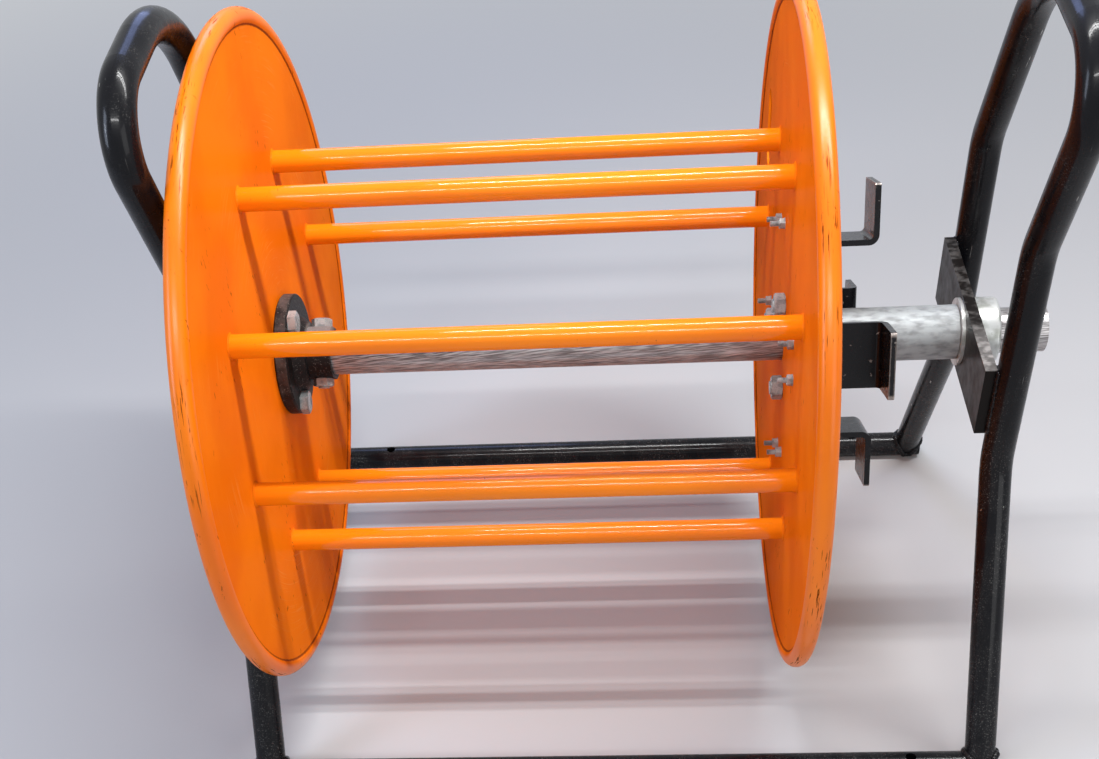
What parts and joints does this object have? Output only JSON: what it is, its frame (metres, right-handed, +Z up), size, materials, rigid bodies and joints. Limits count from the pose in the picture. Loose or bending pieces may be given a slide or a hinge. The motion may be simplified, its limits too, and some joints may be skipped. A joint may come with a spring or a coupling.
{
  "type": "metal cable reel",
  "caption": "Steel cable reel: an open drum of round discs and bars on a tube axle, turning by hand between two bent-tube side frames with handle loops.",
  "frame": {"origin": "on the floor under the middle of the stand", "axes": "+X along the axle towards the side with the tail hooks, +Y to the rear, +Z up"},
  "size_m": [0.778, 0.6, 0.6782],
  "materials": {
    "orange_paint": "glossy paint over sheet and rod, scuffed at the rims",
    "black_paint": "satin paint, scratched to bare steel on the edges",
    "brushed_tube": "bare drawn tube with fine lengthwise scratches",
    "turned_steel": "turned, satin",
    "zinc_steel": "zinc plated, dull"
  },
  "bodies": {
    "stand": {"left_side_frame": "black_paint", "right_side_frame": "black_paint", "front_cross_tube": "black_paint", "rear_cross_tube": "black_paint", "left_bearing_plate": "black_paint", "right_bearing_plate": "black_paint", "left_bearing": "turned_steel", "right_bearing": "turned_steel"},
    "drum": {"axle_tube": "brushed_tube", "left_disc": "orange_paint", "right_disc": "orange_paint", "bar_1": "orange_paint", "bar_2": "orange_paint", "bar_3": "orange_paint", "bar_4": "orange_paint", "bar_5": "orange_paint", "bar_6": "orange_paint", "bar_7": "orange_paint", "bar_8": "orange_paint", "right_spacer": "brushed_tube", "left_spacer": "brushed_tube", "left_hub": "black_paint", "left_hub_bolt_1": "zinc_steel", "left_hub_bolt_2": "zinc_steel", "left_hub_bolt_3": "zinc_steel", "left_hub_nut_1": "zinc_steel", "left_hub_nut_2": "zinc_steel", "left_hub_nut_3": "zinc_steel", "left_clamp_bolt": "zinc_steel", "left_clamp_nut": "zinc_steel", "right_hub": "black_paint", "right_hub_bolt_1": "zinc_steel", "right_hub_bolt_2": "zinc_steel", "right_hub_bolt_3": "zinc_steel", "right_hub_nut_1": "zinc_steel", "right_hub_nut_2": "zinc_steel", "right_hub_nut_3": "zinc_steel", "right_clamp_bolt": "zinc_steel", "right_clamp_nut": "zinc_steel", "tail_hook_1": "black_paint", "tail_hook_2": "black_paint", "tail_hook_3": "black_paint", "tail_hook_4": "black_paint"}
  },
  "joints": [
    {"name": "drum_spin", "type": "hinge", "parent": "stand", "child": "drum", "pos_m": [0, 0, 0.3355], "axis": [1, 0, 0], "continuous": true}
  ]
}
